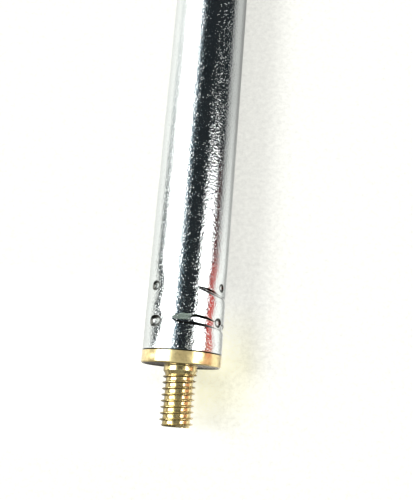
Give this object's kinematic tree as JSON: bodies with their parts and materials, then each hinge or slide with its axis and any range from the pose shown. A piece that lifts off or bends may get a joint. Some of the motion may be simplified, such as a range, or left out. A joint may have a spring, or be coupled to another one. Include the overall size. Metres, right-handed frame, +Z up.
{
  "type": "car mast aerial",
  "caption": "Telescopic mast aerial for a car: plated tubes that slide out of a crimped base tube, closed at the foot by a turned plug with a threaded stud.",
  "frame": {"origin": "middle of the plug's seat, the flat underside of the flange that the stud stands out of", "axes": "+Z up along the mast from the seat to the tip, the stud points to -Z, -Y is the side shown by the picture"},
  "size_m": [0.0094, 0.0094, 0.1658],
  "materials": {
    "plated_tube": "polished",
    "plug_brass": "turned, bright",
    "spring_bronze": "rolled strip"
  },
  "bodies": {
    "base": {"base_plug": "plug_brass", "base_tube": "plated_tube"},
    "section_2": {"tube_2": "plated_tube", "spring_shell_2a": "spring_bronze", "spring_shell_2b": "spring_bronze"},
    "section_3": {"tube_3": "plated_tube", "spring_shell_3a": "spring_bronze", "spring_shell_3b": "spring_bronze"},
    "section_4": {"tube_4": "plated_tube", "spring_shell_4a": "spring_bronze", "spring_shell_4b": "spring_bronze"},
    "section_5": {"tube_5": "plated_tube", "spring_shell_5a": "spring_bronze", "spring_shell_5b": "spring_bronze"},
    "section_6": {"tube_6": "plated_tube", "spring_shell_6a": "spring_bronze", "spring_shell_6b": "spring_bronze"},
    "rod": {"tip_rod": "plated_tube", "tip_cap": "plated_tube", "spring_shell_7a": "spring_bronze", "spring_shell_7b": "spring_bronze"}
  },
  "joints": [
    {"name": "section_2_slide", "type": "slide", "parent": "base", "child": "section_2", "axis": [0, 0, 1], "range_m": [0, 0.1231]},
    {"name": "section_3_slide", "type": "slide", "parent": "section_2", "child": "section_3", "axis": [0, 0, 1], "range_m": [0, 0.1251]},
    {"name": "section_4_slide", "type": "slide", "parent": "section_3", "child": "section_4", "axis": [0, 0, 1], "range_m": [0, 0.1271]},
    {"name": "section_5_slide", "type": "slide", "parent": "section_4", "child": "section_5", "axis": [0, 0, 1], "range_m": [0, 0.1291]},
    {"name": "section_6_slide", "type": "slide", "parent": "section_5", "child": "section_6", "axis": [0, 0, 1], "range_m": [0, 0.1311]},
    {"name": "rod_slide", "type": "slide", "parent": "section_6", "child": "rod", "axis": [0, 0, 1], "range_m": [0, 0.1331]}
  ]
}
